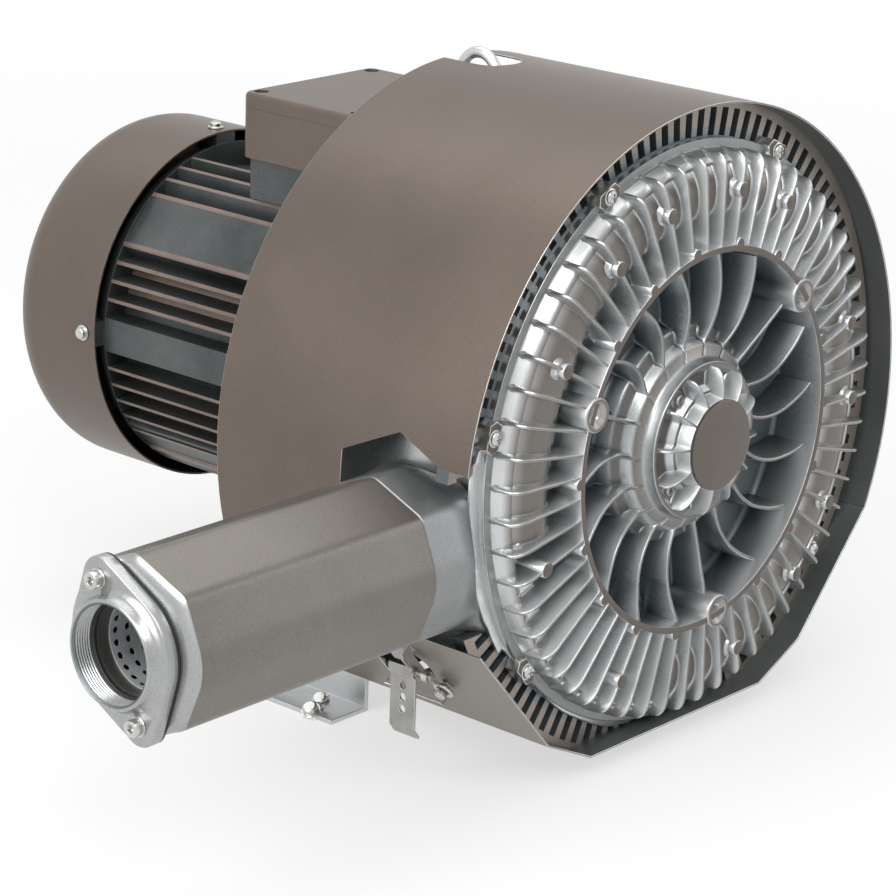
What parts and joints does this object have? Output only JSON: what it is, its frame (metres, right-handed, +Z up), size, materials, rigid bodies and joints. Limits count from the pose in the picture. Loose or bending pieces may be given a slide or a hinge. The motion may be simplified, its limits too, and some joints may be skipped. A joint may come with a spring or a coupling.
{
  "type": "side channel blower",
  "caption": "Electric side channel blower with ribbed front cover, sheet shroud, silenced ports and a flange-mounted fan-cooled motor on a folded base.",
  "frame": {"origin": "centre of the four mounting holes, on the floor under the base", "axes": "+Z up, +Y along the shaft from the front cover to the fan cowl, -X to the side of the inlet silencer"},
  "size_m": [0.8474, 0.6712, 0.54],
  "materials": {
    "cast_silver": "sprayed aluminium paint on castings",
    "taupe_paint": "warm grey metallic, semi gloss",
    "motor_paint": "dark grey metallic",
    "zinc_steel": "zinc plated",
    "galvanised": "galvanised sheet",
    "bearing_steel": "ground",
    "core_iron": "raw",
    "copper": "enamelled copper",
    "seal_rubber": "matt",
    "fan_plastic": "matt"
  },
  "bodies": {
    "housing": {"front_cover": "cast_silver", "hub_cap": "taupe_paint", "middle_casing": "cast_silver", "rear_casing": "cast_silver", "vent_ring": "cast_silver", "inlet_elbow": "cast_silver", "outlet_adapter": "cast_silver", "shroud": "taupe_paint", "shroud_lower": "taupe_paint", "clamp_1": "zinc_steel", "clamp_2": "zinc_steel", "clamp_3": "zinc_steel", "clamp_4": "zinc_steel", "clamp_5": "zinc_steel", "silencer_inlet": "taupe_paint", "inlet_gasket": "seal_rubber", "inlet_flange": "cast_silver", "inlet_screw_1": "zinc_steel", "inlet_screw_2": "zinc_steel", "inlet_tube": "galvanised", "silencer_outlet": "taupe_paint", "outlet_gasket": "seal_rubber", "outlet_flange": "cast_silver", "outlet_screw_1": "zinc_steel", "outlet_screw_2": "zinc_steel", "outlet_tube": "galvanised", "bearing_front": "bearing_steel", "bearing_drive": "bearing_steel", "bearing_rear": "bearing_steel", "motor_flange": "motor_paint", "motor_frame": "motor_paint", "stator_core": "core_iron", "stator_winding": "copper", "end_shield": "motor_paint", "fan_cowl": "taupe_paint", "cowl_screw_1": "zinc_steel", "cowl_screw_2": "zinc_steel", "cowl_screw_3": "zinc_steel", "cowl_screw_4": "zinc_steel", "terminal_box": "taupe_paint", "terminal_lid": "taupe_paint", "lid_screw_1": "zinc_steel", "lid_screw_2": "zinc_steel", "lid_screw_3": "zinc_steel", "lid_screw_4": "zinc_steel", "eye_bolt": "zinc_steel", "base_plate": "galvanised", "base_screw_1": "zinc_steel", "base_screw_2": "zinc_steel", "latch_catch": "zinc_steel", "latch_pin": "zinc_steel", "latch_stud": "zinc_steel", "latch_wire": "zinc_steel"},
    "rotor": {"shaft": "bearing_steel", "impeller_front": "cast_silver", "impeller_rear": "cast_silver", "rotor_core": "core_iron", "cooling_fan": "fan_plastic"},
    "lever": {"latch_lever": "zinc_steel"},
    "bail": {"latch_bail": "zinc_steel"}
  },
  "joints": [
    {"name": "rotor_spin", "type": "hinge", "parent": "housing", "child": "rotor", "pos_m": [0, -0.366, 0.262], "axis": [0, 1, 0], "continuous": true},
    {"name": "latch_lever_turn", "type": "hinge", "parent": "housing", "child": "lever", "pos_m": [-0.22862, -0.254, 0.09983], "axis": [0, 1, 0], "range_deg": [-30, 95]},
    {"name": "latch_bail_turn", "type": "hinge", "parent": "housing", "child": "bail", "pos_m": [-0.22862, -0.254, 0.09983], "axis": [0, 1, 0], "range_deg": [0, 95]}
  ]
}
